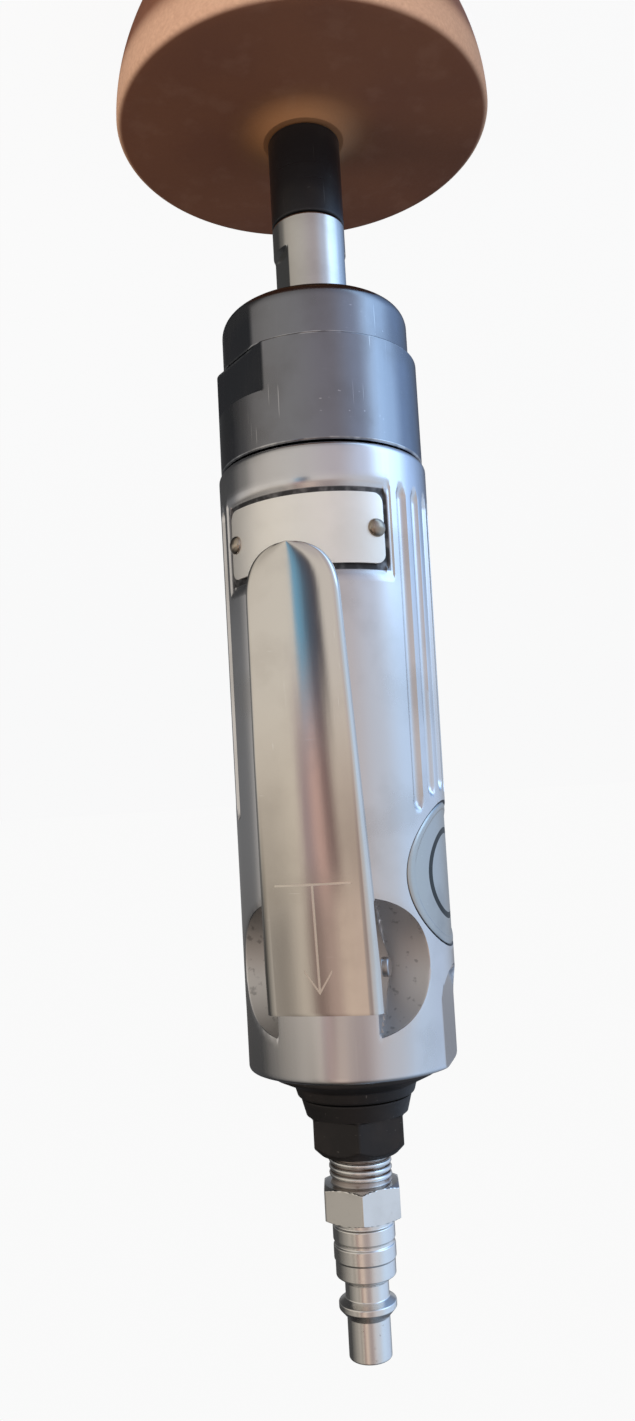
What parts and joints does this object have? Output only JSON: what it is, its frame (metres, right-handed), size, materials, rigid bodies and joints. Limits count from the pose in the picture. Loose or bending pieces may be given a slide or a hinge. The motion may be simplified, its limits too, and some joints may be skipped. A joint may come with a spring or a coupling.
{
  "type": "pneumatic eraser wheel tool",
  "caption": "Inline air tool: vane motor and planetary reduction in an aluminium body, throttle lever and air plug, turning a rubber eraser wheel.",
  "frame": {"origin": "centre of the eraser wheel's flat front face, on which the tool stands", "axes": "+Z along the tool axis from the wheel towards the air plug; the throttle lever faces -Y"},
  "size_m": [0.088, 0.088, 0.305],
  "materials": {
    "eraser_rubber": "moulded tan rubber, matt, slightly dusty",
    "black_steel": "black oxide steel, satin, worn at its edges",
    "bright_steel": "turned bright steel",
    "gear_steel": "hardened ground steel",
    "aluminium_body": "polished die-cast aluminium",
    "plate_aluminium": "bare anodised plate",
    "stainless_lever": "polished stainless sheet",
    "plug_steel": "plated steel, dulled",
    "seal_rubber": "black nitrile",
    "brass": "turned brass",
    "vane_fibre": "fibre laminate",
    "felt": "felt"
  },
  "bodies": {
    "tool_body": {"spindle_seal": "seal_rubber", "bearing_outer_ring": "gear_steel", "front_collar": "black_steel", "gear_case": "black_steel", "ring_gear": "gear_steel", "front_end_plate": "gear_steel", "rear_end_plate": "gear_steel", "rotor_bearing_front": "bright_steel", "rotor_bearing_rear": "bright_steel", "cylinder_liner": "gear_steel", "liner_pin": "bright_steel", "housing": "aluminium_body", "name_plate": "plate_aluminium", "rivet_left": "bright_steel", "rivet_right": "bright_steel", "side_badge": "plate_aluminium", "lever_pin": "bright_steel", "valve_guide": "brass", "valve_seal": "seal_rubber", "valve_spring": "bright_steel", "rear_cap": "black_steel", "silencer_ring": "felt", "inlet_bushing": "black_steel", "inlet_screen": "brass", "air_plug": "plug_steel"},
    "spindle": {"output_spindle": "bright_steel", "wheel_arbor": "black_steel", "wheel_washer": "bright_steel", "wheel_nut": "bright_steel", "eraser_wheel": "eraser_rubber", "planet_pin_1": "bright_steel", "planet_pin_2": "bright_steel", "planet_pin_3": "bright_steel", "bearing_inner_ring": "gear_steel"},
    "rotor": {"rotor": "gear_steel", "vane_1": "vane_fibre", "vane_2": "vane_fibre", "vane_3": "vane_fibre", "vane_4": "vane_fibre", "vane_5": "vane_fibre"},
    "bearing_balls": {"bearing_cage": "brass"},
    "planet_1": {"planet_gear_1": "gear_steel"},
    "planet_2": {"planet_gear_2": "gear_steel"},
    "planet_3": {"planet_gear_3": "gear_steel"},
    "lever": {"throttle_lever": "stainless_lever"},
    "valve": {"valve_stem": "brass"}
  },
  "joints": [
    {"name": "spindle_spin", "type": "hinge", "parent": "tool_body", "child": "spindle", "pos_m": [0, 0, 0.08], "axis": [0, 0, 1], "continuous": true},
    {"name": "rotor_spin", "type": "hinge", "parent": "tool_body", "child": "rotor", "pos_m": [0, 0, 0.15], "axis": [0, 0, 1], "continuous": true},
    {"name": "cage_spin", "type": "hinge", "parent": "tool_body", "child": "bearing_balls", "pos_m": [0, 0, 0.0824], "axis": [0, 0, 1], "continuous": true},
    {"name": "planet_1_spin", "type": "hinge", "parent": "spindle", "child": "planet_1", "pos_m": [0.0105, 0, 0.105], "axis": [0, 0, 1], "continuous": true},
    {"name": "planet_2_spin", "type": "hinge", "parent": "spindle", "child": "planet_2", "pos_m": [-0.00525, 0.00909, 0.105], "axis": [0, 0, 1], "continuous": true},
    {"name": "planet_3_spin", "type": "hinge", "parent": "spindle", "child": "planet_3", "pos_m": [-0.00525, -0.00909, 0.105], "axis": [0, 0, 1], "continuous": true},
    {"name": "lever_press", "type": "hinge", "parent": "tool_body", "child": "lever", "pos_m": [0, -0.018, 0.2225], "axis": [1, 0, 0], "range_deg": [0, 4.4], "stiffness_Nm_per_rad": 0.8, "springref_deg": -5.73},
    {"name": "valve_slide", "type": "slide", "parent": "tool_body", "child": "valve", "axis": [0, 1, 0], "range_m": [0, 0.00173], "deforming": ["valve_spring"]}
  ],
  "couplings": [
    {"joint": "rotor_spin", "follows": "spindle_spin", "ratio": 5},
    {"joint": "cage_spin", "follows": "spindle_spin", "ratio": 0.4266},
    {"joint": "planet_1_spin", "follows": "spindle_spin", "ratio": -2.6667},
    {"joint": "planet_2_spin", "follows": "spindle_spin", "ratio": -2.6667},
    {"joint": "planet_3_spin", "follows": "spindle_spin", "ratio": -2.6667},
    {"joint": "valve_slide", "follows": "lever_press", "m_per_rad": 0.0225}
  ]
}
